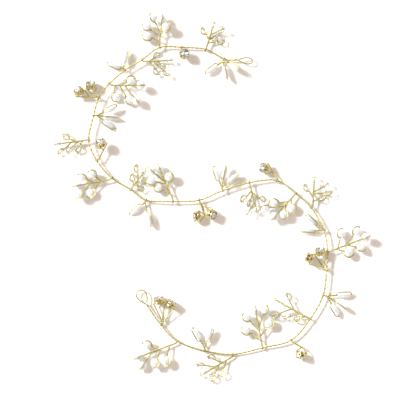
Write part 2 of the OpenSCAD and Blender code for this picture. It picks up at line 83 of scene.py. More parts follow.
# One row for each sprig, from the start to the far end: its kind, the point of
# the stem that it grips, and its twigs. A bead's twig is the share of the
# leader where it forks off, the bead's place from the root, the height of the
# bead's centre, and the side on which its wire comes back. A stone's twig is
# the share of the way that is twisted, the stone's place and its face's angles.
SPRIGS = [
    ("rice", (12, 70.5, 2.3), [
        (0, -6, -5.25, 2.4, 160), (0.12, 0.75, -6.75, 3.4, 90), (0.12, 4.75, -4.25, 4.8, 20)]),
    ("clear", (3, 75.25, 2.4), [
        (0, 3.75, 12, 3.6, 90), (0.22, 7.25, 4.25, 2.2, 160), (0.39, -0.75, 9.25, 2.6, 20),
        (0.39, 4.75, 7, 1.8, 125), (0.7, 7.5, 9.75, 4.5, 90)]),
    ("stone", (-9.25, 76.25, 2.6), [(1, 1.5, -3.5, 4.9, 60, 65)]),
    ("pearl", (-20, 76.25, 3), [
        (0, 1, 14, 4.5, 90), (0.2, -6.25, 5.5, 3.5, 20), (0.45, -6.5, 10.25, 4, 35),
        (0.5, 3, 10, 5.5, 160), (0.6, -3.5, 14.75, 5.4, 55)]),
    ("clear", (-29, 70, 3.4), [
        (0, 13.75, -0.25, 3, 90), (0.25, 7.5, 1.75, 1.8, 20), (0.3, 7.5, -5.5, 2.6, 160),
        (0.45, 12, -6.5, 3.5, 125), (0.6, 10.75, -3, 2, 90)]),
    ("rice", (-37.5, 64.75, 3.6), [(0, -5.25, 2.75, 2.6, 20), (0.12, 0.25, 6.5, 3.2, 160)]),
    ("pearl", (-45.25, 58, 3.8), [
        (0, 15.75, -0.75, 5.4, 90), (0.15, 3.5, -6.5, 2.2, 160), (0.35, 9.5, -8.25, 2.6, 125),
        (0.35, 10.75, 1.5, 3, 20), (0.55, 13.75, -8.5, 4.2, 90)]),
    ("stone", (-50.5, 51, 3.8), [(0.6, -4, 6.25, 4.2, 90, 30), (0.6, -10, 3.25, 4.8, 125, 25)]),
    ("rice", (-53, 42.25, 3.7), [
        (0, 8.25, 3, 4.4, 20), (0.12, 8.5, -0.75, 3.2, 90), (0.12, 7.25, -4.25, 1.8, 160)]),
    ("clear", (-55.5, 30, 3.6), [
        (0, -15.5, -2, 3.4, 90), (0.15, -5.75, -4.25, 1.8, 20), (0.35, -9.75, -5, 3.9, 90),
        (0.4, -11.5, 1.25, 2.2, 160), (0.6, -13.75, -6, 2.2, 125)]),
    ("stone", (-51.5, 19.75, 3.2), [(1, 2.25, 8.5, 6.4, 115, 40)]),
    ("pearl", (-44, 11, 2.8), [
        (0, -17.25, -3.75, 3.8, 90), (0.3, -10, 1.75, 4.8, 160), (0.35, -10.75, -7.5, 2.2, 20),
        (0.6, -14.75, 0.5, 5, 125), (0.7, -16.25, -8.25, 4.4, 35)]),
    ("clear", (-34.5, 5.25, 2.6), [
        (0, 7, 9.25, 2.4, 90), (0.12, 1.25, 5.75, 2, 20), (0.2, 5, 1, 2, 160),
        (0.6, 3.25, 10.5, 3, 35), (0.35, 6.75, 4.75, 2.4, 160)]),
    ("rice", (-27, 0, 2.6), [(0, -5, -5, 1.7, 160), (0.12, 1.5, -9.75, 3, 20)]),
    ("pearl", (-13.5, -0.75, 3), [
        (0, -6.75, 16.5, 3.6, 90), (0.2, -7.25, 7, 3, 20), (0.4, -2, 12.25, 4.4, 160),
        (0.6, -10.75, 10.25, 4.9, 35), (0.65, -10.75, 15.5, 5.9, 90)]),
    ("stone", (-0.25, 0, 3), [(1, -1.5, -8.25, 4, 190, 10), (0.5, 6.25, -7.25, 4.6, 335, 35)]),
    ("rice", (11.25, 4.75, 3.2), [
        (0, -2.75, 8.5, 3.4, 20), (0.12, 1, 9.25, 4, 90), (0.12, 5.25, 6, 3.2, 160)]),
    ("clear", (24.75, 8.75, 3), [
        (0, 3.25, -13.25, 2.6, 90), (0.3, -2.75, -8.5, 4.2, 160), (0.35, 6, -8.75, 2.4, 20),
        (0.45, 0, -10.25, 1.8, 125), (0.85, -0.5, -14.75, 4.8, 90)]),
    ("stone", (38.5, 9.75, 2.6), [(0.8, -6.5, 6.25, 4.4, 165, 30)]),
    ("pearl", (47.75, 3.25, 2.6), [
        (0, -10.5, -11.5, 4.2, 90), (0.2, -2, -7.5, 2.8, 20), (0.35, -10.75, -5, 2.2, 160),
        (0.45, -6, -10.5, 3.4, 35), (0.6, -15.25, -7.25, 5.2, 125)]),
    ("clear", (55.5, -3.75, 2.8), [
        (0, 1.5, 13.75, 3.6, 90), (0.2, 5, 5, 2, 160), (0.35, -2, 10, 2.6, 20),
        (0.55, 8.5, 7.75, 3.4, 160), (0.62, 7.25, 11.25, 3.4, 90)]),
    ("rice", (62, -15, 3), [(0, -8, 0.25, 2.4, 20), (0.12, -6.75, 4.75, 4, 160)]),
    ("pearl", (63.75, -25.75, 3.2), [
        (0, 19, 7, 5.4, 90), (0.2, 10.5, -0.5, 3.4, 160), (0.25, 7, 9, 3.2, 20),
        (0.5, 14.5, 10.25, 4, 35), (0.55, 16.5, 1.75, 3.2, 125)]),
    ("stone", (63.25, -35, 3.2), [(0.3, -9, 6.25, 4.4, 158, 0), (0.3, -3.25, 9.25, 5, 95, 25)]),
    ("rice", (61.5, -47.5, 3), [
        (0, 10.5, 0, 2.4, 20), (0.12, 6, -7.25, 2.4, 160), (0.12, 9, -5.25, 4.4, 90)]),
    ("clear", (55, -59.5, 2.8), [
        (0, -16.5, 9.25, 3.6, 90), (0.12, -6.5, 0.25, 1.8, 20), (0.3, -11, 1, 2.4, 90),
        (0.5, -11.25, 11, 3, 160), (0.6, -17.25, 2.25, 3, 35)]),
    ("stone", (45.5, -70, 2.4), [(1, 4.75, -7.5, 4.2, 258, 10)]),
    ("pearl", (31.25, -73.75, 2.2), [
        (0, -3.5, 18.5, 4, 90), (0.15, -8.25, 8.75, 3.6, 20), (0.3, 3.25, 12, 3.4, 160),
        (0.5, -8, 15.25, 4.4, 35), (0.6, 1.25, 19, 5, 125)]),
    ("clear", (16.5, -77, 1.8), [
        (0, -14.75, -9.75, 2.4, 90), (0.25, -5.75, -9.75, 2.6, 20), (0.4, -11, -2, 2.6, 160),
        (0.5, -10.5, -11.75, 1.8, 35), (0.65, -16.25, -5.5, 3, 125)]),
    ("rice", (2.25, -75.25, 1.9), [(0, -3.75, 8.25, 2.4, 20), (0.12, 2.25, 7.75, 3, 160)]),
    ("pearl", (-11.25, -70.5, 2), [
        (0, -19.75, -8, 3.6, 90), (0.2, -6, -10, 3.8, 20), (0.45, -11.25, -11, 3.6, 35),
        (0.5, -15.25, -2, 3.4, 160), (0.7, -17.5, -12.25, 2.6, 90)]),
    ("stone", (-19.5, -62.25, 2.2), [(0.2, -1, 12.25, 3.4, 95, 20), (0.2, 5, 10.25, 4.4, 60, 15)]),
]
SPRIGS_PER_REPEAT = 8
REPEATS = len(SPRIGS) // SPRIGS_PER_REPEAT

# Stem end, centre of the round tip and radius of the tip of each end loop
LOOPS = [
    (START_END, Vector((24.7, 69.4, 2.7)), 1.55),
    (FAR_END, Vector((-29.25, -47.5, 2.5)), 2.5),
]

STEM = [START_END] + [Vector(root) for kind, root, twigs in SPRIGS] + [FAR_END]


class WireSizes(bpy.types.PropertyGroup):
    """Sizes of the wires, in metres"""

    stem: bpy.props.FloatProperty(
        name="Stem", description="Thickness of the twisted stem",
        default=0.00094, min=0.0009, max=0.0011, unit="LENGTH", precision=5)
    stem_lay: bpy.props.FloatProperty(
        name="Stem Lay", description="Length in which the stem's two wires turn once",
        default=0.0044, min=0.003, max=0.008, unit="LENGTH", precision=5)
    leader: bpy.props.FloatProperty(
        name="Leader", description="Thickness of a sprig's twisted leader",
        default=0.001, min=0.0006, max=0.001, unit="LENGTH", precision=5)
    twig: bpy.props.FloatProperty(
        name="Twig", description="Thickness of a sprig's twisted side twig",
        default=0.0009, min=0.0005, max=0.0009, unit="LENGTH", precision=5)
    twig_lay: bpy.props.FloatProperty(
        name="Twig Lay", description="Length in which a twig's two wires turn once",
        default=0.002, min=0.0015, max=0.004, unit="LENGTH", precision=5)
    wire: bpy.props.FloatProperty(
        name="Bead Wire", description="Thickness of the single wire through a bead or a cup",
        default=0.0006, min=0.0003, max=0.0006, unit="LENGTH", precision=5)
    loop: bpy.props.FloatProperty(
        name="Loop Wire", description="Thickness of the wire of the end loops",
        default=0.0006, min=0.0004, max=0.00064, unit="LENGTH", precision=5)
    grip_turns: bpy.props.FloatProperty(
        name="Grip Turns", description="Turns of wire with which a sprig grips the stem",
        default=2.6, min=1.5, max=5)


class BeadSizes(bpy.types.PropertyGroup):
    """Sizes of the beads and stones, in metres"""

    pearl: bpy.props.FloatProperty(
        name="Pearl", description="Diameter of a round pearl",
        default=0.0044, min=0.0042, max=0.0044, unit="LENGTH", precision=5)
    rice_length: bpy.props.FloatProperty(
        name="Rice Pearl Length", description="Length of a rice pearl",
        default=0.007, min=0.0067, max=0.0071, unit="LENGTH", precision=5)
    rice_width: bpy.props.FloatProperty(
        name="Rice Pearl Width", description="Thickness of a rice pearl",
        default=0.0026, min=0.0024, max=0.0027, unit="LENGTH", precision=5)
    clear: bpy.props.FloatProperty(
        name="Clear Bead", description="Diameter of a clear bead",
        default=0.0033, min=0.0031, max=0.00335, unit="LENGTH", precision=5)
    clear_length: bpy.props.FloatProperty(
        name="Clear Bead Length", description="Length of a clear bead along its hole",
        default=0.003, min=0.0028, max=0.003, unit="LENGTH", precision=5)
    bore: bpy.props.FloatProperty(
        name="Hole", description="Diameter of the hole through every bead",
        default=0.0009, min=0.0008, max=0.001, unit="LENGTH", precision=5)
    cup: bpy.props.FloatProperty(
        name="Cup", description="Outer diameter of a stone's cup",
        default=0.005, min=0.0049, max=0.00505, unit="LENGTH", precision=5)
    cup_height: bpy.props.FloatProperty(
        name="Cup Height", description="Height of a cup with its stone",
        default=0.0038, min=0.0037, max=0.0039, unit="LENGTH", precision=5)


class Finishes(bpy.types.PropertyGroup):
    """Colours of the finishes and the light"""

    gold: bpy.props.FloatVectorProperty(
        name="Gold Wire", description="Colour of the plated wire",
        default=(0.61, 0.575, 0.27), size=3, min=0, max=1, subtype="COLOR")
    setting: bpy.props.FloatVectorProperty(
        name="Setting", description="Colour of the plated cups",
        default=(0.74, 0.68, 0.37), size=3, min=0, max=1, subtype="COLOR")
    pearl: bpy.props.FloatVectorProperty(
        name="Pearl", description="Body colour of the pearls",
        default=(0.93, 0.96, 0.96), size=3, min=0, max=1, subtype="COLOR")
    clear: bpy.props.FloatVectorProperty(
        name="Clear Bead", description="Colour of the clear beads",
        default=(0.97, 0.985, 1.0), size=3, min=0, max=1, subtype="COLOR")
    stone: bpy.props.FloatVectorProperty(
        name="Stone", description="Colour of the cut stones",
        default=(0.96, 0.97, 1.0), size=3, min=0, max=1, subtype="COLOR")
    # painted shade: the stone backing is a dark bowl behind each stone that darkens the cup's windows,
    # where the inside of the cup lies in shade
    shade_backing: bpy.props.FloatVectorProperty(
        name="Stone Backing", description="Colour of the lacquer behind the stones",
        default=(0.32, 0.28, 0.13), size=3, min=0, max=1, subtype="COLOR")
    floor: bpy.props.FloatVectorProperty(
        name="Floor", description="Colour of the table",
        default=(0.97, 0.97, 0.96), size=3, min=0, max=1, subtype="COLOR")
    shade: bpy.props.FloatVectorProperty(
        name="Shade", description="Colour of the light that fills the shadows",
        default=(1.0, 0.83, 0.69), size=3, min=0, max=1, subtype="COLOR")
    sky_panel: bpy.props.FloatVectorProperty(
        name="Sky Panel", description="Colour of the dark panels that the metal mirrors",
        default=(0.06, 0.06, 0.08), size=3, min=0, max=1, subtype="COLOR")
    sky_top: bpy.props.FloatVectorProperty(
        name="Sky Top", description="Colour of the sky straight above the table",
        default=(0.2, 0.22, 0.3), size=3, min=0, max=1, subtype="COLOR")
    sky_strength: bpy.props.FloatProperty(
        name="Sky Strength", description="Strength of the light from the sky",
        default=1.17, min=0, max=5)
    sun_strength: bpy.props.FloatProperty(
        name="Sun Strength", description="Strength of the main light", default=3.7, min=0, max=10)
    sun_width: bpy.props.FloatProperty(
        name="Sun Width", description="Width of the main light, which softens the shadows",
        default=math.radians(12), min=0, max=math.radians(90), subtype="ANGLE")
    sun_elevation: bpy.props.FloatProperty(
        name="Sun Height", description="Height of the main light over the table",
        default=math.radians(42), min=math.radians(20), max=math.radians(80), subtype="ANGLE")
    sun_azimuth: bpy.props.FloatProperty(
        name="Sun Direction",
        description="Direction of the main light, from the right and round to the left",
        default=math.radians(150), min=0, max=math.radians(360), subtype="ANGLE")


class VineSettings(bpy.types.PropertyGroup):
    """All the settings of the vine"""

    wires: bpy.props.PointerProperty(
        type=WireSizes, name="Wires", description="Sizes of the wires")
    beads: bpy.props.PointerProperty(
        type=BeadSizes, name="Beads", description="Sizes of the beads and stones")
    finishes: bpy.props.PointerProperty(
        type=Finishes, name="Finishes", description="Colours of the finishes and the light")


def settings():
    """The settings of the vine in this scene."""
    return bpy.context.scene.hair_vine


def metres(point):
    """A point of the layout in millimetres as a point of the frame in metres."""
    return (point - MIDDLE) * MM


def across(vector, axis):
    """The direction of the part of a vector that stands square to an axis."""
    return (vector - axis * vector.dot(axis)).normalized()


def aim(direction):
    """The turn that takes Z to a direction and keeps Y level."""
    polar = math.acos(max(-1, min(1, direction.z)))
    around = math.atan2(direction.y, direction.x)
    return Matrix.Rotation(around, 3, "Z") @ Matrix.Rotation(polar, 3, "Y")


def stem_slope(i):
    """The way that the stem runs at one of its points."""
    last = len(STEM) - 1
    return (STEM[min(last, i + 1)] - STEM[max(0, i - 1)]) / 2


def stem_curve(i, t):
    """The place on the stem a share of the way from one of its points to the next."""
    return (
        STEM[i] * (2 * t ** 3 - 3 * t ** 2 + 1)
        + stem_slope(i) * (t ** 3 - 2 * t ** 2 + t)
        + STEM[i + 1] * (3 * t ** 2 - 2 * t ** 3)
        + stem_slope(i + 1) * (t ** 3 - t ** 2)
    )


class Sprig:
    """Places on one sprig, worked out as the solids' source does it."""

    def __init__(self, number):
        beads = settings().beads
        self.kind, root, self.twigs = SPRIGS[number]
        self.root = Vector(root)
        self.along = stem_slope(number + 1).normalized()
        grip_wire_r = TWIG_R * 0.96
        self.seat_r = STEM_R + GAP + grip_wire_r * 1.5
        length = {"pearl": beads.pearl, "rice": beads.rice_length, "clear": beads.clear}.get(self.kind, 0)
        self.reach = length / MM / 2 + WIRE_R + 1.5 * GAP
        if self.kind != "stone":
            self.start = self.seat(self.held(0))
            self.neck = self.held(0) - self.reach * (self.held(0) - self.start).normalized()

    def held(self, t):
        """The middle of what a twig holds."""
        share, dx, dy, z = self.twigs[t][:4]
        return Vector((self.root.x + dx, self.root.y + dy, z))

    def seat(self, target):
        """The place beside the stem where wire for a target leaves the grip."""
        return self.root + self.seat_r * across(target - self.root, self.along)

    def fork(self, t):
        """The place on the leader where a twig leaves it."""
        return self.start.lerp(self.neck, self.twigs[t][0])

    def heading(self, t):
        """The way that a twig runs, which is also the way of its bead's hole."""
        return (self.held(t) - self.fork(t)).normalized()

    def face(self, t):
        """The way that a stone faces."""
        turn, rise = (math.radians(angle) for angle in self.twigs[t][4:6])
        return Vector((math.cos(rise) * math.cos(turn), math.cos(rise) * math.sin(turn), math.sin(rise)))

    def side(self, t):
        """The level way across a stone's face, in which its channel runs."""
        turn = math.radians(self.twigs[t][4])
        return Vector((-math.sin(turn), math.cos(turn), 0))

    def cup_base(self, t):
        """The middle of the underside of a cup's foot."""
        return self.held(t) - self.face(t) * settings().beads.cup_height / MM / 2

    def place(self, t):
        """The place and turn of a bead or a cup."""
        if self.kind == "stone":
            return self.cup_base(t), aim(self.face(t))
        return self.held(t), aim(self.heading(t))


def places_of(kind, repeat):
    """Place and turn of each bead or cup of one kind within one repeat of the pattern."""
    first = repeat * SPRIGS_PER_REPEAT
    places = []
    for number in range(first, first + SPRIGS_PER_REPEAT):
        sprig = Sprig(number)
        if sprig.kind == kind:
            places += [sprig.place(t) for t in range(len(sprig.twigs))]
    return places


def socket(tree, name, kind, default=None):
    """Adds a named input to a tree."""
    made = tree.interface.new_socket(name=name, in_out="INPUT", socket_type=kind)
    if default is not None:
        made.default_value = default


def feed(tree, value, target):
    """Joins an output to an input, or sets the input to a value."""
    if isinstance(value, bpy.types.NodeSocket):
        tree.links.new(value, target)
    else:
        target.default_value = value


def fill(node, **inputs):
    """Joins or sets a node's inputs by name."""
    for name, value in inputs.items():
        feed(node.id_data, value, node.inputs[name.replace("_", " ")])


def add_node(tree, kind, values=None, **inputs):
    """Adds a node, sets its properties, and joins or sets its inputs by name."""
    node = tree.nodes.new(kind)
    for name, value in (values or {}).items():
        setattr(node, name, value)
    fill(node, **inputs)
    return node


def maths(tree, operation, *values, kind="ShaderNodeMath"):
    """The result of a maths node, with its values in order."""
    node = add_node(tree, kind, {"operation": operation})
    for place, value in enumerate(values):
        feed(tree, value, node.inputs[place])
    return node.outputs[0]


def scaled(tree, vector, factor):
    """A vector made longer or shorter by a factor."""
    node = add_node(tree, "ShaderNodeVectorMath", {"operation": "SCALE"}, Scale=factor)
    tree.links.new(vector, node.inputs[0])
    return node.outputs[0]


def twisted_wire_tree():
    """Turns each line of a mesh into wires that wind round it at an even lay."""
    name = "Twisted Wire"
    if name in bpy.data.node_groups:
        return bpy.data.node_groups[name]
    tree = bpy.data.node_groups.new(name, "GeometryNodeTree")
    socket(tree, "Geometry", "NodeSocketGeometry")
    socket(tree, "Wires", "NodeSocketInt", 2)
    sizes = (("Wire Radius", 0.00025), ("Distance", 0.00025), ("Lay", 0.004), ("Step", 0.0002))
    for size, default in sizes:
        socket(tree, size, "NodeSocketFloat", default)
    socket(tree, "Sides", "NodeSocketInt", 8)
    socket(tree, "Material", "NodeSocketMaterial")
    tree.interface.new_socket(name="Geometry", in_out="OUTPUT", socket_type="NodeSocketGeometry")
    given = tree.nodes.new("NodeGroupInput").outputs

    line = add_node(tree, "GeometryNodeMeshToCurve", Mesh=given["Geometry"])
    even = add_node(
        tree, "GeometryNodeResampleCurve", {"mode": "LENGTH"},
        Curve=line.outputs[0], Length=given["Step"])
    copies = add_node(
        tree, "GeometryNodeDuplicateElements", {"domain": "SPLINE"},
        Geometry=even.outputs[0], Amount=given["Wires"])
    length = add_node(tree, "GeometryNodeSplineParameter").outputs["Length"]
    turns = maths(tree, "DIVIDE", length, given["Lay"])
    share = maths(tree, "DIVIDE", copies.outputs["Duplicate Index"], given["Wires"])
    angle = maths(tree, "MULTIPLY", maths(tree, "ADD", turns, share), math.tau)
    normal = add_node(tree, "GeometryNodeInputNormal").outputs[0]
    tangent = add_node(tree, "GeometryNodeInputTangent").outputs[0]
    beside = maths(tree, "CROSS_PRODUCT", tangent, normal, kind="ShaderNodeVectorMath")
    around = maths(
        tree, "ADD", scaled(tree, normal, maths(tree, "COSINE", angle)),
        scaled(tree, beside, maths(tree, "SINE", angle)), kind="ShaderNodeVectorMath")
    wound = add_node(
        tree, "GeometryNodeSetPosition", Geometry=copies.outputs[0],
        Offset=scaled(tree, around, given["Distance"]))
    ring = add_node(
        tree, "GeometryNodeCurvePrimitiveCircle", Resolution=given["Sides"], Radius=given["Wire Radius"])
    tube = add_node(
        tree, "GeometryNodeCurveToMesh", Curve=wound.outputs[0], Profile_Curve=ring.outputs[0],
        Fill_Caps=True)
    smooth = add_node(tree, "GeometryNodeSetShadeSmooth", Geometry=tube.outputs[0])
    real = add_node(tree, "GeometryNodeRealizeInstances", Geometry=smooth.outputs[0])
    finish = add_node(
        tree, "GeometryNodeSetMaterial", Geometry=real.outputs[0], Material=given["Material"])
    tree.links.new(finish.outputs[0], tree.nodes.new("NodeGroupOutput").inputs[0])
    return tree


def linked(name, data):
    """A new object that holds its data and is part of the scene."""
    made = bpy.data.objects.new(name, data)
    bpy.context.collection.objects.link(made)
    return made


def wind(lines, material, wires, wire_r, distance=0.0, lay=0.004, even=0.2, sides=8):
    """Winds wires along lines of points in millimetres and gives back the mesh."""
    mesh = bpy.data.meshes.new("lines")
    points, edges = [], []
    for line in lines:
        first = len(points)
        points += [metres(point) for point in line]
        edges += [(i, i + 1) for i in range(first, len(points) - 1)]
    mesh.from_pydata(points, edges, [])
    holder = linked("lines", mesh)
    tree = twisted_wire_tree()
    values = {
        "Wires": wires, "Wire Radius": wire_r, "Distance": distance, "Lay": lay,
        "Step": even * MM, "Sides": sides, "Material": material,
    }
    modifier = holder.modifiers.new("Twisted Wire", "NODES")
    modifier.node_group = tree
    for item in tree.interface.items_tree:
        if item.in_out == "INPUT" and item.name in values:
            modifier[item.identifier] = values[item.name]
    bpy.context.view_layer.update()
    seen = holder.evaluated_get(bpy.context.evaluated_depsgraph_get())
    wound = bpy.data.meshes.new_from_object(seen)
    bpy.data.objects.remove(holder)
    bpy.data.meshes.remove(mesh)
    return wound


def twist(lines, material, thickness, lay, even=0.17, sides=6):
    """Twists two wires along lines into strands of one thickness, in metres."""
    return wind(lines, material, 2, thickness / 4, thickness / 4, lay, even, sides)


def piece(name, meshes, replaced):
    """Joins meshes into one piece that rides on the root and stands for its nodes."""
    joined = bpy.data.meshes.new(name)
    work = bmesh.new()
    materials = []
    for mesh in meshes:
        first = len(work.faces)
        work.from_mesh(mesh)
        work.faces.ensure_lookup_table()
        own = [finish for finish in mesh.materials if finish]
        for face in work.faces[first:]:
            finish = own[min(face.material_index, len(own) - 1)]
            if finish not in materials:
                materials.append(finish)
            face.material_index = materials.index(finish)
        bpy.data.meshes.remove(mesh)
    work.to_mesh(joined)
    work.free()
    for finish in materials:
        joined.materials.append(finish)
    made = linked(name, joined)
    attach(made, "root")
    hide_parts(*replaced)


def round_off(points, radius, steps=5):
    """A line of points with each corner replaced by a short curve."""
    line = [points[0]]
    for before, corner, after in zip(points, points[1:], points[2:]):
        back, on = before - corner, after - corner
        cut = min(radius, back.length * 0.45, on.length * 0.45)
        a, b = corner + back.normalized() * cut, corner + on.normalized() * cut
        for i in range(steps + 1):
            t = i / steps
            line.append(a * (1 - t) ** 2 + corner * 2 * t * (1 - t) + b * t ** 2)
    line.append(points[-1])
    return line


def bead_wire(sprig, t):
    """The wire that runs through a bead, turns back and comes home round its side."""
    bead, u, far = sprig.held(t), sprig.heading(t), sprig.reach
    turn = math.radians(sprig.twigs[t][4])
    left = UP.cross(u).normalized()
    beside = left * math.cos(turn) + u.cross(left) * math.sin(turn)
    radius = far
    if sprig.kind == "rice":
        radius = settings().beads.rice_width / MM / 2 + WIRE_R * 1.15 + GAP
    shift = far - radius
    knee, soft = 0.32, 0.3
    corner = knee / radius
    bend = []
    steps = 14
    for i in range(steps + 1):
        angle = corner + (math.pi - 2 * corner) * i / steps
        middle = bead + u * (shift if angle < math.pi / 2 else -shift)
        bend.append(middle + u * radius * math.cos(angle) + beside * radius * math.sin(angle))
        if shift and i == steps // 2:
            bend.append(bead - u * shift + beside * radius)
    through = [bead - u * (far + 0.35), bead - u * (far - 0.2), bead]
    turn_back = round_off([bead + u * (far - knee), bead + u * far, bend[0]], soft)
    home = round_off([bend[-1], bead - u * far, bead - u * (far + 0.45)], soft)
    return through + turn_back + bend[1:-1] + home


def stone_wire(sprig, t):
    """The wire through a cup's channel with both its legs bent back, and its twisted twig."""
    base, face, side = sprig.cup_base(t), sprig.face(t), sprig.side(t)
    start = sprig.seat(base)
    apex = start.lerp(base - LEG * face, sprig.twigs[t][0])
    back = (apex - start).normalized()
    channel = base + CHANNEL_Z * face
    cup_r = settings().beads.cup / MM / 2
    ears = [channel + side * way * (cup_r + 0.45) for way in (-1, 1)]
    inner = [channel + side * way * (cup_r - 0.4) for way in (-1, 1)]
    feet = [
        (apex - back * 0.4 + side * way * 0.08, apex - back * 0.05 + side * way * 0.1)
        for way in (-1, 1)
    ]
    line = [*feet[0], ears[0], inner[0], inner[1], ears[1], *reversed(feet[1])]
    return round_off(line, 0.4), [start, apex]


def drop_line(end, along, centre, tip_r, wire_r):
    """A wire that comes along the stem, crosses itself at the end and opens into a drop."""
    out = (centre - end).normalized()
    left = UP.cross(out).normalized()
    length = (centre - end).length + tip_r
    widest = 0.77  # the most that sin(turn) * sin(turn / 2) comes to
    line = []
    steps, cut = 40, 4
    for i in range(cut, steps - cut + 1):
        turn = math.tau * i / steps
        onward = length * (1 - math.cos(turn)) / 2
        sideward = tip_r / widest * math.sin(turn) * math.sin(turn / 2)
        lift = wire_r * math.cos(turn / 2) * (0.5 + 0.5 * math.cos(turn)) ** 4
        line.append(end + out * onward + left * sideward + UP * lift)
    beside = UP.cross(along).normalized() * 0.2
    first, last = end - along * 1.6, end - along * 0.5
    lead = round_off([first - beside, last - beside, line[0]], 0.4)
    tail = round_off([line[-1], last + beside, first + beside], 0.4)
    return lead[:-1] + line + tail[1:]


def ring(radius, z, count, shift=0.0):
    """Points at even steps round Z, turned by a share of one step."""
    angles = [math.tau * (k + shift) / count for k in range(count)]
    return [Vector((radius * math.cos(angle), radius * math.sin(angle), z)) for angle in angles]


def turned(profile, sides, swell=0.0):
    """A closed outline turned round Z, with low bumps outside, as points and faces."""
    points, faces = [], []
    n = len(profile)
    for k in range(sides):
        angle = math.tau * k / sides
        for r, z in profile:
            if r > 0.6:
                r *= 1 + swell * math.sin(3 * angle + 1.7) * math.sin(2.1 * z)
            points.append(Vector((r * math.cos(angle), r * math.sin(angle), z)))
    for k in range(sides):
        for i in range(n):
            a, b = k * n + i, k * n + (i + 1) % n
            c, d = ((k + 1) % sides) * n + (i + 1) % n, ((k + 1) % sides) * n + i
            faces.append((a, d, c, b))
    return points, faces


def together(shapes):
    """Several shapes as one, as points and faces."""
    points, faces = [], []
    for own_points, own_faces in shapes:
        first = len(points)
        points += own_points
        faces += [tuple(first + i for i in face) for face in own_faces]
    return points, faces


def scatter(name, shape, places, materials, smooth, crease=math.pi):
    """One mesh that holds a shape at each of several places, sharp at edges over the crease angle."""
    points, faces, *finish = shape
    indices = (finish[0] if finish else [0] * len(faces)) * len(places)
    all_points, all_faces = together([
        ([metres(turn @ point + middle) for point in points], faces) for middle, turn in places])
    mesh = bpy.data.meshes.new(name)
    mesh.from_pydata(all_points, [], all_faces)
    for material in materials:
        mesh.materials.append(material)
    mesh.polygons.foreach_set("material_index", indices)
    mesh.polygons.foreach_set("use_smooth", [smooth] * len(mesh.polygons))
    work = bmesh.new()
    work.from_mesh(mesh)
    bmesh.ops.recalc_face_normals(work, faces=work.faces)
    for edge in work.edges:
        edge.smooth = edge.calc_face_angle(math.pi) <= crease
    work.to_mesh(mesh)
    work.free()
    return mesh


def oval_outline(length, width, bore, steps):
    """Outline of a drilled oval with a soft rim round its hole."""
    b, half = bore / 2, length / 2
    lip, soft = 0.1, 0.03
    first = math.asin(min(1, (b + lip) / (width / 2)))
    skin = [
        (width / 2 * math.sin(a), half * math.cos(a))
        for a in (first + (math.pi - 2 * first) * i / steps for i in range(steps + 1))
    ]
    end = half * math.cos(first)
    rise = 0.005
    hole = [(b + soft, -end - rise), (b, -end + lip), (b, 0), (b, end - lip), (b + soft, end + rise)]
    return skin + hole


def clear_shape():
    """A drilled bead with flat ends and three belts of facets."""
    beads = settings().beads
    r, half, bore = beads.clear / MM / 2, beads.clear_length / MM / 2, beads.bore / MM / 2
    n, sunk, belt = 10, 0.06, 0.4
    end_r, belt_r = 0.52 * r, 0.99 * r
    rings = [
        (bore, -half + sunk, 0), (end_r, -half, 0), (belt_r, -belt, 0.5), (belt_r, belt, 0),
        (end_r, half, 0.5), (bore, half - sunk, 0.5),
    ]
    points = [point for radius, z, shift in rings for point in ring(radius, z, n, shift)]
    faces = []
    last = len(rings)
    for low in range(last):
        above = (low + 1) % last
        lean = rings[above][2] - rings[low][2]
        for k in range(n):
            a, b = low * n + k, low * n + (k + 1) % n
            c, d = above * n + (k + 1) % n, above * n + k
            if lean == 0:
                faces.append((a, b, c, d))
            elif lean > 0:
                faces += [(a, b, d), (b, c, d)]
            else:
                faces += [(a, b, c), (a, c, d)]
    return points, faces


def bowl_outline(r, girdle):
    """Outline of the dark bowl that backs a stone and paints the shade inside the cup, out along its
    underside and back.
    """
    lip = r + 0.04
    under = [(0.02, 1.36), (r * 0.35, 1.42), (r * 0.75, 1.95), (lip, girdle - 0.08)]
    inside = [(r, girdle - 0.02), (r * 0.75 - 0.06, 1.99), (r * 0.35, 1.47), (0.02, 1.41)]
    return [*under, (lip, girdle - 0.02), *inside]


def brilliant_shape():
    """A round brilliant, with clear glass over a foiled back in a dark bowl that paints the shade inside
    the cup.
    """
    beads = settings().beads
    cup, height = beads.cup / MM, beads.cup_height / MM
    r = cup / 2 - CUP_WALL - 0.12
    table_z, girdle, culet = height - 0.05, height - 0.9, 1.5
    points = (
        ring(r * 0.56, table_z, 8) + ring(r * 0.8, girdle + 0.55, 8, 0.5)
        + ring(r, girdle + 0.15, 16) + ring(r, girdle, 16)
        + ring(r * 0.3, culet + 0.42, 8, 0.5) + [Vector((0, 0, culet))]
    )
    table, star, top, low, keel, tip = 0, 8, 16, 32, 48, 56
    faces, finish = [tuple(range(8))], [0]
    for k in range(8):
        on, back = (k + 1) % 8, (k - 1) % 8
        g0, g1, g2 = 2 * k, 2 * k + 1, (2 * k + 2) % 16
        crown = [
            (table + k, star + k, table + on),
            (table + k, star + back, top + g0), (table + k, top + g0, star + k),
            (star + k, top + g0, top + g1), (star + k, top + g1, top + g2),
            (top + g0, low + g0, low + g1, top + g1), (top + g1, low + g1, low + g2, top + g2),
        ]
        pavilion = [
            (low + g0, keel + k, low + g1), (low + g1, keel + k, low + g2),
            (low + g0, keel + back, tip), (low + g0, tip, keel + k),
        ]
        faces += crown + pavilion
        finish += [0] * len(crown) + [1] * len(pavilion)
    # the bowl is painted shade: dark metal that stands for the shade inside the cup behind the stone
    bowl = turned(bowl_outline(r, girdle), 16)
    return *together([(points, faces), bowl]), finish + [2] * len(bowl[1])


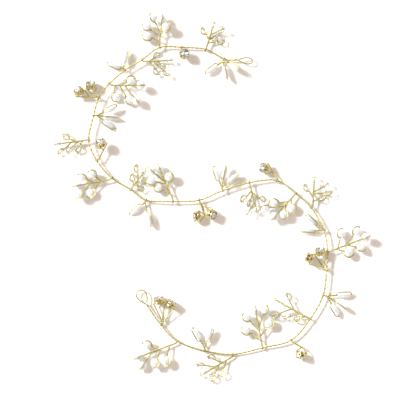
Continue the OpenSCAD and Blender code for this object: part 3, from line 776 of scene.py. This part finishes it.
def claw_shape(r, angle):
    """A post that widens at the rim and bends over the stone as a claw."""
    bend_z, sides = 3.2, 8
    path = [
        (r - 0.14, 1.5, 0.44), (r - 0.14, 1.75, 0.4), (r - 0.14, 2.2, 0.4), (r - 0.14, 2.5, 0.56),
        (r - 0.14, 2.75, 0.7), (r - 0.12, 3.1, 0.24), (r - 0.2, 3.35, 0.2), (r - 0.42, 3.52, 0.19),
        (r - 0.62, 3.6, 0.15), (r - 0.7, 3.6, 0.05),
    ]
    turn = Matrix.Rotation(angle, 3, "Z")
    points = []
    for x, z, wide in path:
        thick, lean = (0.14, 0) if z < bend_z else (0.13, math.radians(60))
        for a in range(sides):
            c, s = math.cos(math.tau * a / sides), math.sin(math.tau * a / sides)
            points.append(turn @ Vector((
                x + thick * c * math.cos(lean), wide * s, z + thick * c * math.sin(lean))))
    last = len(points) - sides
    faces = [
        (i + a, i + (a + 1) % sides, i + sides + (a + 1) % sides, i + sides + a)
        for i in range(0, last, sides) for a in range(sides)
    ]
    return points, faces + [tuple(range(sides - 1, -1, -1)), tuple(range(last, last + sides))]


def foot_block(foot, angle):
    """One of the four blocks of a cup's foot, between which the wire's channels run."""
    turn = Matrix.Rotation(angle, 3, "Z")
    plan = ((0.5, -0.55), (foot - 0.05, -0.9), (foot, 0), (foot - 0.05, 0.9), (0.5, 0.55))
    points = [turn @ Vector((x, y, z)) for z in (0.0, 0.85) for x, y in plan]
    walls = [(0, 1, 6, 5), (1, 2, 7, 6), (2, 3, 8, 7), (3, 4, 9, 8), (4, 0, 5, 9)]
    return points, walls + [(4, 3, 2, 1, 0), (5, 6, 7, 8, 9)]


def cup_shape():
    """Points and faces of a pierced cup: a foot, a gallery of posts, a rim and claws."""
    beads = settings().beads
    r, rim = beads.cup / MM / 2, beads.cup_height / MM - 0.65
    foot, inside = r - 0.7, r - CUP_WALL
    base = [
        (0.35, 0.62), (0.35, 0.95), (r - 0.32, 1.28), (inside, 1.6), (r - 0.06, 1.6), (r, 1.5),
        (r, 1.0), (r - 0.12, 0.9), (foot + 0.05, 0.82), (foot, 0.78), (foot - 0.1, 0.7),
    ]
    hoop = [
        (inside, 2.6), (inside, rim), (r - 0.2, rim + 0.06), (r - 0.04, rim + 0.03), (r, rim - 0.05),
        (r, 2.66), (r - 0.06, 2.6),
    ]
    return together([
        turned(base, 48), turned(hoop, 48),
        *(claw_shape(r, math.tau * k / 8) for k in range(8)),
        *(foot_block(foot, math.radians(quarter)) for quarter in (45, 135, 225, 315)),
    ])


def fine_grain_group():
    """Fine marks for every finish: their mask, and a value that follows it from Low to High."""
    name = "Fine Grain"
    if name in bpy.data.node_groups:
        return bpy.data.node_groups[name]
    tree = bpy.data.node_groups.new(name, "ShaderNodeTree")
    for size, default in (("Scale", 900.0), ("Low", 0.1), ("High", 0.3)):
        socket(tree, size, "NodeSocketFloat", default)
    for output in ("Mask", "Value"):
        tree.interface.new_socket(name=output, in_out="OUTPUT", socket_type="NodeSocketFloat")
    given = tree.nodes.new("NodeGroupInput").outputs
    place = add_node(tree, "ShaderNodeTexCoord").outputs["Object"]
    broad = add_node(tree, "ShaderNodeTexNoise", Vector=place, Scale=given["Scale"], Detail=3.0)
    band = add_node(
        tree, "ShaderNodeMapRange", Value=broad.outputs[0], From_Min=0.3, From_Max=0.7,
        To_Min=given["Low"], To_Max=given["High"])
    add_node(tree, "NodeGroupOutput", Mask=broad.outputs[0], Value=band.outputs[0])
    return tree


def finish_of(name):
    """A new material with its shader, or the one already made."""
    if name in bpy.data.materials:
        return bpy.data.materials[name], None
    made = bpy.data.materials.new(name)
    made.use_nodes = True
    return made, made.node_tree.nodes["Principled BSDF"]


def grain(tree, scale, low, high):
    """The fine marks placed in a material, at its own scale and limits."""
    return add_node(
        tree, "ShaderNodeGroup", {"node_tree": fine_grain_group()}, Scale=scale, Low=low, High=high)


def eased(tree, value, low, high):
    """A factor that rises softly from 0 to 1 as a value goes from low to high."""
    node = add_node(
        tree, "ShaderNodeMapRange", {"interpolation_type": "SMOOTHSTEP"}, Value=value,
        From_Min=low, From_Max=high, To_Min=0.0, To_Max=1.0)
    return node.outputs[0]


def toned(colour, *factors):
    """A colour with its red, green and blue each changed by a factor of its own."""
    return tuple(part * factor for part, factor in zip(colour, factors))


def tint(tree, factor, first, second):
    """A colour that runs from one to another with a factor."""
    node = add_node(tree, "ShaderNodeMix", {"data_type": "RGBA"}, Factor=factor)
    for name, colour in (("A", first), ("B", second)):
        value = colour if isinstance(colour, bpy.types.NodeSocket) else (*colour, 1)
        feed(tree, value, node.inputs[name])
    return node.outputs["Result"]


def bump(tree, height, distance, strength):
    """Normals that stand for low marks of a given height."""
    node = add_node(tree, "ShaderNodeBump", Height=height, Distance=distance, Strength=strength)
    return node.outputs[0]


def plated_metal(name, colour, low, high):
    """Plated metal, with fine drawing marks and a little warmth that comes and goes."""
    made, shader = finish_of(name)
    if shader is None:
        return made
    tree = made.node_tree
    marks = grain(tree, 1400.0, low, high)
    warm = grain(tree, 260.0, 0.0, 1.0)
    fill(
        shader, Metallic=1.0, Roughness=marks.outputs["Value"],
        Base_Color=tint(tree, warm.outputs["Value"], colour, toned(colour, 0.86, 0.82, 0.66)),
        Normal=bump(tree, marks.outputs["Mask"], 0.000012, 0.5))
    return made


def pearl_finish():
    """Nacre over a pale body, with a faint change from pink to green, and a painted reflection of the dim
    sky above: a cooler colour on the top of each pearl, where its surface faces up.
    """
    made, shader = finish_of("nacre")
    if shader is None:
        return made
    tree = made.node_tree
    colour = settings().finishes.pearl
    pink, green = toned(colour, 1.02, 0.985, 0.985), toned(colour, 0.975, 0.995, 0.985)
    # painted reflection: this cooler colour stands for the dim sky above, mirrored in the top of each
    # pearl
    painted_sky_reflection = toned(colour, 0.64, 0.76, 0.92)
    sheen = grain(tree, 420.0, 0.0, 1.0)
    body = tint(tree, sheen.outputs["Value"], pink, green)
    # mask of the painted reflection: how nearly the surface faces straight up
    skin = add_node(tree, "ShaderNodeNewGeometry").outputs["Normal"]
    upward = add_node(tree, "ShaderNodeSeparateXYZ", Vector=skin).outputs["Z"]
    ripple = grain(tree, 900.0, 0.1, 0.22)
    fill(
        shader, Base_Color=tint(tree, eased(tree, upward, 0.84, 0.98), body, painted_sky_reflection),
        Roughness=ripple.outputs["Value"], Normal=bump(tree, ripple.outputs["Mask"], 0.00001, 0.35),
        Subsurface_Weight=0.6, Subsurface_Radius=(1.0, 1.0, 1.0), Subsurface_Scale=0.002,
        Coat_Weight=0.7, Coat_Roughness=0.06, Coat_IOR=1.6)
    return made


def glass_finish(name, colour, ior):
    """Clear glass whose shadow is light in the middle and darker at its edge."""
    made, shader = finish_of(name)
    if shader is None:
        return made
    tree = made.node_tree
    cloud = grain(tree, 700.0, 0.01, 0.035)
    fill(
        shader, Metallic=0.0, Transmission_Weight=1.0, IOR=ior, Roughness=cloud.outputs["Value"],
        Base_Color=tint(tree, cloud.outputs["Mask"], colour, toned(colour, 0.985, 0.985, 0.985)))
    edge = add_node(tree, "ShaderNodeLayerWeight", Blend=0.55).outputs["Facing"]
    through = add_node(
        tree, "ShaderNodeBsdfTransparent",
        Color=tint(tree, edge, (0.97, 0.97, 0.97), (0.35, 0.31, 0.3)))
    mixed = add_node(tree, "ShaderNodeMixShader")
    sources = (
        add_node(tree, "ShaderNodeLightPath").outputs["Is Shadow Ray"], shader.outputs[0],
        through.outputs[0],
    )
    for source, target in zip(sources, mixed.inputs):
        tree.links.new(source, target)
    fill(tree.nodes["Material Output"], Surface=mixed.outputs[0])
    return made


def foil_finish():
    """The bright foil behind a stone's lower facets."""
    made, shader = finish_of("stone_foil")
    if shader is None:
        return made
    tree = made.node_tree
    worn = grain(tree, 800.0, 0.12, 0.26)
    fill(
        shader, Metallic=1.0, Roughness=worn.outputs["Value"],
        Base_Color=tint(tree, worn.outputs["Mask"], (0.95, 0.97, 1.0), (0.66, 0.7, 0.8)),
        Normal=bump(tree, worn.outputs["Mask"], 0.00001, 0.3))
    return made


def gold_finish():
    """The plated gold of the drawn wire."""
    return plated_metal("drawn_gold", settings().finishes.gold, 0.28, 0.44)


def aim_camera(scene):
    """Sets the camera straight over the middle of the photograph, and plain colours."""
    camera = linked("camera", bpy.data.cameras.new("camera"))
    sensor = 36
    camera.data.sensor_width = sensor
    camera.data.lens = sensor * CAMERA_HEIGHT / CAMERA_FIELD
    camera.data.clip_start, camera.data.clip_end = 0.1, 10
    camera.location = (-MIDDLE.x * MM, -MIDDLE.y * MM, CAMERA_HEIGHT)
    scene.camera = camera
    scene.view_settings.view_transform = "Standard"
    scene.view_settings.look = "None"


def paint_sky(scene, look):
    """A warm sky with dark panels for the metal to mirror, and a dim top."""
    world = bpy.data.worlds.new("sky")
    world.use_nodes = True
    scene.world = world
    tree = world.node_tree
    place = add_node(tree, "ShaderNodeTexCoord").outputs["Generated"]
    ways = add_node(tree, "ShaderNodeSeparateXYZ", Vector=place).outputs
    turn = maths(tree, "ARCTAN2", ways["Y"], ways["X"])
    wave = maths(tree, "SINE", maths(tree, "MULTIPLY", turn, SKY_PANELS))
    panels = tint(tree, eased(tree, wave, 0.25, 0.6), look.shade, look.sky_panel)
    colour = tint(tree, eased(tree, ways["Z"], 0.86, 0.95), panels, look.sky_top)
    fill(tree.nodes["Background"], Color=colour, Strength=look.sky_strength)


def hang_sun(look):
    """The main light, a broad sun that throws soft shadows."""
    light = bpy.data.lights.new("sun", "SUN")
    light.energy = look.sun_strength
    light.angle = look.sun_width
    light.color = SUN_COLOUR
    level, turn = math.cos(look.sun_elevation), look.sun_azimuth
    towards = Vector((level * math.cos(turn), level * math.sin(turn), math.sin(look.sun_elevation)))
    sun = linked("sun", light)
    sun.rotation_mode = "QUATERNION"
    sun.rotation_quaternion = towards.to_track_quat("Z", "Y")


def lay_table(look):
    """The pale table top."""
    half = TABLE_WIDTH / 2
    corners = [(-half, -half, 0), (half, -half, 0), (half, half, 0), (-half, half, 0)]
    mesh = bpy.data.meshes.new("table_top")
    mesh.from_pydata(corners, [], [(0, 1, 2, 3)])
    made, shader = finish_of("table_paint")
    tree = made.node_tree
    tone = grain(tree, 40.0, 0.5, 0.62)
    fill(
        shader, Roughness=tone.outputs["Value"], Specular_IOR_Level=0.1,
        Base_Color=tint(tree, tone.outputs["Mask"], look.floor, toned(look.floor, 0.99, 0.99, 0.99)))
    mesh.materials.append(made)
    top_board = linked("table_top", mesh)


class VINE_OT_stage(bpy.types.Operator):
    """Makes the camera, the light, the sky that the metal mirrors, and the table"""

    bl_idname = "vine.make_stage"
    bl_label = "Make Stage"

    def execute(self, context):
        look = settings().finishes
        aim_camera(context.scene)
        paint_sky(context.scene, look)
        hang_sun(look)
        lay_table(look)
        return {"FINISHED"}


class VINE_OT_stem(bpy.types.Operator):
    """Twists the stem's two wires along the S"""

    bl_idname = "vine.make_stem"
    bl_label = "Make Stem"

    def execute(self, context):
        sizes = settings().wires
        steps = 10
        line = [stem_curve(i, k / steps) for i in range(len(STEM) - 1) for k in range(steps)] + [FAR_END]
        mesh = twist([line], gold_finish(), sizes.stem, sizes.stem_lay, even=0.2, sides=9)
        piece("stem_twist", [mesh], ["stem_wire"])
        return {"FINISHED"}


class VINE_OT_end_loops(bpy.types.Operator):
    """Crosses the wires at each end of the stem and opens them into a drop"""

    bl_idname = "vine.make_end_loops"
    bl_label = "Make End Loops"

    def execute(self, context):
        sizes = settings().wires
        for number, (end, centre, tip_r) in enumerate(LOOPS):
            along = (end - STEM[1 if number == 0 else -2]).normalized()
            line = drop_line(end, along, centre, tip_r, sizes.loop / MM / 2)
            wire = wind([line], gold_finish(), 1, sizes.loop / 2, even=0.15, sides=10)
            piece(f"end_loop_wire_{number + 1}", [wire], [f"end_loop_{number + 1}"])
        return {"FINISHED"}


class VINE_OT_sprig_wires(bpy.types.Operator):
    """Twists each sprig's leader and twigs, coils them round the stem and bends the bead wires"""

    bl_idname = "vine.make_sprig_wires"
    bl_label = "Make Sprig Wires"

    def execute(self, context):
        sizes = settings().wires
        gold = gold_finish()
        grip_half = sizes.grip_turns * GRIP_LAY / 2
        for number in range(len(SPRIGS)):
            sprig = Sprig(number)
            leaders, twigs, singles = [], [], []
            for t in range(len(sprig.twigs)):
                if sprig.kind == "stone":
                    bent, twisted = stone_wire(sprig, t)
                    singles.append(bent)
                    leaders.append(twisted)
                else:
                    end = sprig.held(t) - sprig.heading(t) * (sprig.reach + 0.1)
                    (leaders if t == 0 else twigs).append([sprig.fork(t), end])
                    singles.append(bead_wire(sprig, t))
            grip = [sprig.root - sprig.along * grip_half, sprig.root, sprig.root + sprig.along * grip_half]
            meshes = [
                twist(leaders, gold, sizes.leader, sizes.twig_lay),
                wind(singles, gold, 1, sizes.wire / 2, even=0.2, sides=7),
                wind(
                    [grip], gold, 1, GRIP_WIRE_R * MM, sizes.stem / 2 + GRIP_OFF * MM, GRIP_LAY * MM,
                    even=0.016, sides=6),
            ]
            if twigs:
                meshes.append(twist(twigs, gold, sizes.twig, sizes.twig_lay))
            piece(f"sprig_twist_{number + 1:02d}", meshes, [f"sprig_wire_{number + 1:02d}"])
        return {"FINISHED"}


class VINE_OT_pearls(bpy.types.Operator):
    """Threads the round pearls and the rice pearls"""

    bl_idname = "vine.make_pearls"
    bl_label = "Make Pearls"

    def execute(self, context):
        beads = settings().beads
        bore = beads.bore / MM
        round_pearl = turned(oval_outline(beads.pearl / MM, beads.pearl / MM, bore, 24), 36)
        rice = turned(oval_outline(beads.rice_length / MM, beads.rice_width / MM, bore, 30), 32, 0.012)
        for repeat in range(REPEATS):
            for kind, name, shape in (("pearl", "pearls", round_pearl), ("rice", "rice_pearls", rice)):
                mesh = scatter(name, shape, places_of(kind, repeat), [pearl_finish()], True)
                piece(f"nacre_{name}_{repeat + 1}", [mesh], [f"{name}_{repeat + 1}"])
        return {"FINISHED"}


class VINE_OT_clear_beads(bpy.types.Operator):
    """Threads the clear faceted beads"""

    bl_idname = "vine.make_clear_beads"
    bl_label = "Make Clear Beads"

    def execute(self, context):
        glass = glass_finish("bead_glass", settings().finishes.clear, 1.34)
        for repeat in range(REPEATS):
            mesh = scatter("clear", clear_shape(), places_of("clear", repeat), [glass], False)
            piece(f"glass_beads_{repeat + 1}", [mesh], [f"clear_beads_{repeat + 1}"])
        return {"FINISHED"}


class VINE_OT_stones(bpy.types.Operator):
    """Sets the stones in their pierced cups"""

    bl_idname = "vine.make_stones"
    bl_label = "Make Stones"

    def execute(self, context):
        colours = settings().finishes
        metal = plated_metal("plated_setting", colours.setting, 0.24, 0.38)
        # dark metal for the bowl behind each stone, painted shade inside the cup
        painted_shade_bowl = plated_metal("stone_painted_shade", colours.shade_backing, 0.3, 0.45)
        layers = [glass_finish("stone_glass", colours.stone, 1.58), foil_finish(), painted_shade_bowl]
        for repeat in range(REPEATS):
            places = places_of("stone", repeat)
            cups = scatter("cups", cup_shape(), places, [metal], True, math.radians(32))
            piece(f"pierced_cups_{repeat + 1}", [cups], [f"cups_{repeat + 1}"])
            cut = scatter("stones", brilliant_shape(), places, layers, False)
            piece(f"brilliants_{repeat + 1}", [cut], [f"stones_{repeat + 1}"])
        return {"FINISHED"}


class VINE_PT_panel(bpy.types.Panel):
    """Lists the steps that make the vine"""

    bl_idname = "VINE_PT_panel"
    bl_label = "Hair Vine"
    bl_space_type = "VIEW_3D"
    bl_region_type = "UI"
    bl_category = "Hair Vine"

    def draw(self, context):
        for operator in OPERATORS:
            self.layout.operator(operator.bl_idname)


OPERATORS = (
    VINE_OT_stage, VINE_OT_stem, VINE_OT_end_loops, VINE_OT_sprig_wires, VINE_OT_pearls,
    VINE_OT_clear_beads, VINE_OT_stones,
)
CLASSES = (WireSizes, BeadSizes, Finishes, VineSettings, *OPERATORS, VINE_PT_panel)


def register():
    """Adds the classes and the settings to Blender."""
    for item in CLASSES:
        bpy.utils.register_class(item)
    bpy.types.Scene.hair_vine = bpy.props.PointerProperty(
        type=VineSettings, name="Hair Vine", description="Settings of the hair vine")


def unregister():
    """Takes the settings and the classes out again."""
    del bpy.types.Scene.hair_vine
    for item in reversed(CLASSES):
        bpy.utils.unregister_class(item)


def main():
    """Makes the whole scene."""
    register()
    bpy.ops.vine.make_stage()
    bpy.ops.vine.make_stem()
    bpy.ops.vine.make_end_loops()
    bpy.ops.vine.make_sprig_wires()
    bpy.ops.vine.make_pearls()
    bpy.ops.vine.make_clear_beads()
    bpy.ops.vine.make_stones()


if __name__ == "__main__":
    main()
